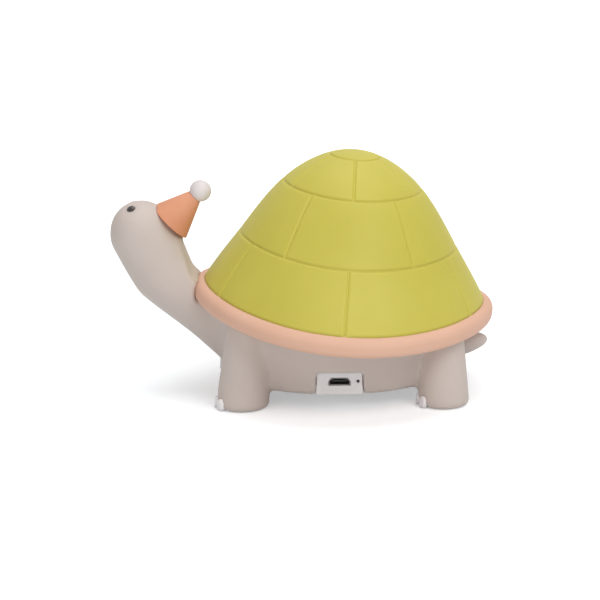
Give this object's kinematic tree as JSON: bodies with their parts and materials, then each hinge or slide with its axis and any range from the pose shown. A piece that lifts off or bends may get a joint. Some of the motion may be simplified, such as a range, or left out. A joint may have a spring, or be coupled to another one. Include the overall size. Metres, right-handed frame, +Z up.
{
  "type": "night light",
  "caption": "Tortoise-shaped nursery night light: plated dome shade on a rim, hollow grey body, party hat, charging socket in the side and a push button underneath.",
  "frame": {"origin": "on the floor under the middle of the object's box", "axes": "+Z up, head towards -X, tail towards +X, charging socket on the -Y side"},
  "size_m": [0.1412, 0.1168, 0.0897],
  "materials": {
    "shade": "matt translucent green",
    "rim": "matt peach",
    "casing": "matt warm grey",
    "hat": "matt terracotta",
    "pompom": "matt off-white",
    "bead": "polished black bead",
    "nail": "matt white",
    "tray": "matt white",
    "steel": "zinc plated",
    "board": "green solder mask",
    "light_board": "white solder mask",
    "contact": "black insulator",
    "smoke": "smoked clear",
    "button": "matt light grey",
    "cell": "foil wrapped",
    "foam": "closed-cell foam",
    "connector": "ivory nylon",
    "red_wire": "insulated wire",
    "black_wire": "insulated wire",
    "reflector": "white reflector",
    "phosphor": "yellow phosphor"
  },
  "bodies": {
    "lamp": {"shade_dome": "shade", "rim_ring": "rim", "body_casing": "casing", "hat_cone": "hat", "hat_pompom": "pompom", "left_eye": "bead", "right_eye": "bead", "toenails": "nail", "base_tray": "tray", "base_screws": "steel", "board_screws": "steel", "reflector_screws": "steel", "main_board": "board", "usb_shell": "steel", "usb_tongue": "contact", "charge_pipe": "smoke", "tact_switch": "contact", "battery_pad": "foam", "battery_cell": "cell", "battery_connector": "connector", "battery_lead_positive": "red_wire", "battery_lead_negative": "black_wire", "reflector_plate": "reflector", "light_board": "light_board", "light_chips": "phosphor", "light_lead_positive": "red_wire", "light_lead_negative": "black_wire"},
    "button": {"power_button": "button", "switch_plunger": "contact"}
  },
  "joints": [
    {"name": "button_press", "type": "slide", "parent": "lamp", "child": "button", "axis": [0, 0, 1], "range_m": [0, 0.0006], "stiffness_N_per_m": 1500}
  ]
}
